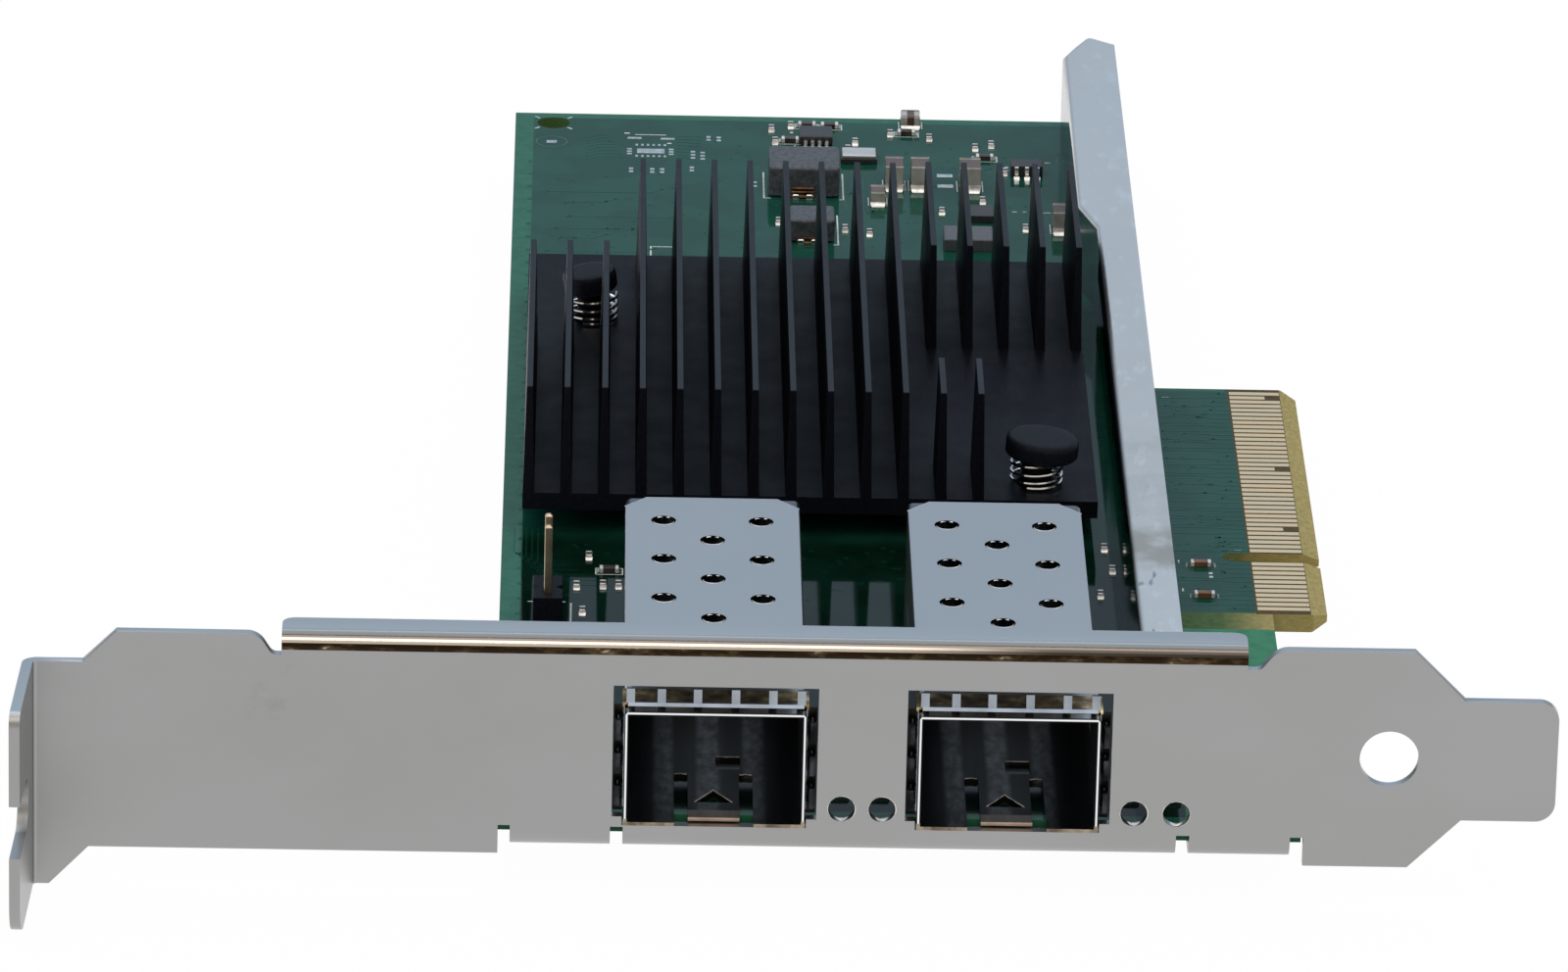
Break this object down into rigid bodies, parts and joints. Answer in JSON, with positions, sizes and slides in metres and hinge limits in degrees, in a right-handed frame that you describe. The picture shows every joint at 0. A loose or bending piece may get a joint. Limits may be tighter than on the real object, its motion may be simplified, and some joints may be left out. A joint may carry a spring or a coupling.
{
  "type": "network interface card",
  "caption": "Expansion card with a full-height slot bracket, two open module ports, a finned heat sink, an edge connector and a long stiffening bar.",
  "frame": {"origin": "centre of the edge connector's key notch, at the tongue's insertion edge and half way through the board", "axes": "+X into the slot, along the bracket towards its tail; +Y from the bracket to the board's rear end; +Z out of the component side"},
  "size_m": [0.1219, 0.1811, 0.0216],
  "materials": {
    "solder_mask": "glossy teal-green solder mask on glass laminate",
    "gold_plate": "gold-plated copper",
    "bright_plate": "bright nickel-plated steel sheet",
    "spring_sheet": "nickel-plated copper-alloy sheet",
    "screw_steel": "zinc-plated steel",
    "black_anodised": "black anodised aluminium",
    "black_plastic": "black moulded plastic",
    "package_green": "laminate chip substrate",
    "lid_metal": "nickel-plated copper lid",
    "pad_grey": "soft thermal pad",
    "plated_bar": "bright nickel-plated bar, lightly scuffed",
    "ferrite": "pressed ferrite powder",
    "solder_tin": "tinned terminal",
    "epoxy_black": "moulded epoxy",
    "ceramic_tan": "fired capacitor ceramic",
    "crystal_metal": "welded metal lid",
    "led_clear": "clear lamp resin"
  },
  "bodies": {
    "root": {"board": "solder_mask", "edge_contacts": "gold_plate", "io_bracket": "bright_plate", "bracket_screws": "screw_steel", "module_cage_1": "spring_sheet", "module_cage_2": "spring_sheet", "cage_springs_1": "spring_sheet", "cage_springs_2": "spring_sheet", "module_connector_1": "black_plastic", "module_connector_2": "black_plastic", "module_contacts": "gold_plate", "heat_sink": "black_anodised", "controller_substrate": "package_green", "controller_lid": "lid_metal", "thermal_pad": "pad_grey", "push_pins": "black_plastic", "push_pin_springs": "screw_steel", "stiffening_bar": "plated_bar", "header_base": "black_plastic", "header_pins": "gold_plate", "power_inductor_large": "ferrite", "power_inductor_small": "ferrite", "inductor_terminals": "solder_tin", "flash_memory": "epoxy_black", "flash_leads": "solder_tin", "crystal_base": "epoxy_black", "crystal_lid": "crystal_metal", "tall_capacitors": "ceramic_tan", "tall_capacitor_ends": "solder_tin", "driver_package": "epoxy_black", "power_stage_packages": "epoxy_black", "array_package": "epoxy_black", "array_terminals": "solder_tin", "chip_bodies": "ceramic_tan", "chip_end_caps": "solder_tin", "back_capacitors": "ceramic_tan", "back_capacitor_ends": "solder_tin", "status_leds": "led_clear"}
  },
  "joints": []
}
